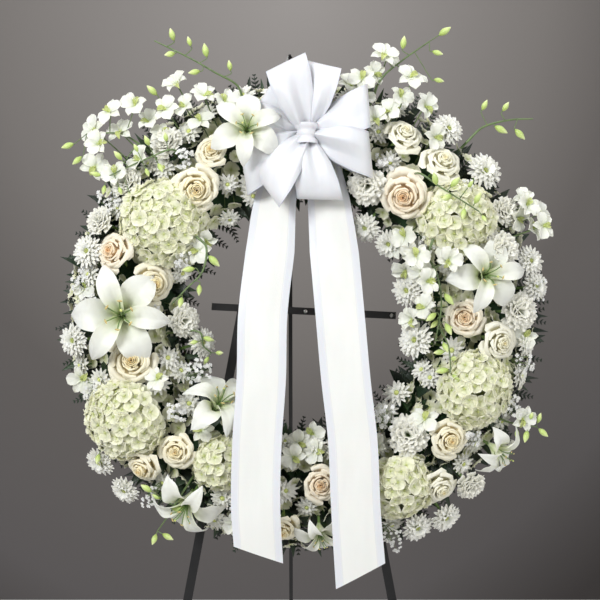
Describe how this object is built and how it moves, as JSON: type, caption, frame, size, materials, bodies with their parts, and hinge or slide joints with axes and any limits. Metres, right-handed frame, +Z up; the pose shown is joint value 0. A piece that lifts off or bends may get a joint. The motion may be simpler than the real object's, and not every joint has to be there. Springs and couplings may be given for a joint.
{
  "type": "funeral wreath on easel",
  "caption": "Standing funeral wreath: a flower ring with a satin bow and tails, leaning on a folding easel with a hinged rear leg.",
  "frame": {"origin": "on the floor, at the middle of the footprint of the whole standing object", "axes": "+Z up, +X to the viewer's right as the flowers face the viewer, -Y out of the flowers towards the viewer"},
  "size_m": [0.728, 0.6278, 1.3649],
  "materials": {
    "easel_paint": "satin black paint",
    "foot_rubber": "matte",
    "tray_plastic": "matte",
    "floral_foam": "matte open-cell foam",
    "wire_steel": "satin",
    "white_satin": "satin ribbon",
    "green_leaves": "leaf, slightly glossy",
    "rose_petals": "petal, soft",
    "hydrangea_florets": "petal, soft",
    "lily_petals": "petal, waxy",
    "orchid_sprays": "petal, waxy",
    "white_petals": "petal, soft"
  },
  "bodies": {
    "wreath_and_front_frame": {"apex_bracket": "easel_paint", "bow": "white_satin", "bunch_inner_left": "white_petals", "bunch_left": "white_petals", "bunch_lower_right": "white_petals", "bunch_right": "white_petals", "bunch_top_left": "white_petals", "bunch_upper_right": "white_petals", "carnation_lower_right": "white_petals", "crossbar": "easel_paint", "foam_ring": "floral_foam", "foliage_inner_1": "green_leaves", "foliage_inner_2": "green_leaves", "foliage_inner_3": "green_leaves", "foliage_inner_4": "green_leaves", "foliage_outer_1": "green_leaves", "foliage_outer_2": "green_leaves", "foliage_outer_3": "green_leaves", "foliage_outer_4": "green_leaves", "foot_left": "foot_rubber", "foot_right": "foot_rubber", "front_leg_left": "easel_paint", "front_leg_right": "easel_paint", "hanging_wire": "wire_steel", "hydrangea_bottom_left": "hydrangea_florets", "hydrangea_bottom_right": "hydrangea_florets", "hydrangea_left": "hydrangea_florets", "hydrangea_right": "hydrangea_florets", "hydrangea_upper_left": "hydrangea_florets", "hydrangea_upper_right": "hydrangea_florets", "lily_bottom": "lily_petals", "lily_inner_left": "lily_petals", "lily_left": "lily_petals", "lily_lower_left": "lily_petals", "lily_lower_right": "lily_petals", "lily_right": "lily_petals", "lily_top": "lily_petals", "mums_inner_right": "white_petals", "mums_lower_left": "white_petals", "mums_top_right": "white_petals", "orchids_inner_left": "orchid_sprays", "orchids_inner_right": "orchid_sprays", "orchids_left": "orchid_sprays", "orchids_right": "orchid_sprays", "orchids_top_left": "orchid_sprays", "orchids_top_right": "orchid_sprays", "plastic_tray": "tray_plastic", "rose_mid_left": "rose_petals", "roses_bottom_left": "rose_petals", "roses_bottom_right": "rose_petals", "roses_left": "rose_petals", "roses_lower_left": "rose_petals", "roses_lower_right": "rose_petals", "roses_right": "rose_petals", "roses_upper_left": "rose_petals", "roses_upper_right": "rose_petals", "tail_left": "white_satin", "tail_right": "white_satin"},
    "rear_leg": {"rear_leg": "easel_paint", "foot_rear": "foot_rubber"}
  },
  "joints": [
    {"name": "rear_leg_hinge", "type": "hinge", "parent": "wreath_and_front_frame", "child": "rear_leg", "pos_m": [-0.01788, -0.01575, 1.27789], "axis": [-1, 0, 0], "range_deg": [0, 25]}
  ]
}
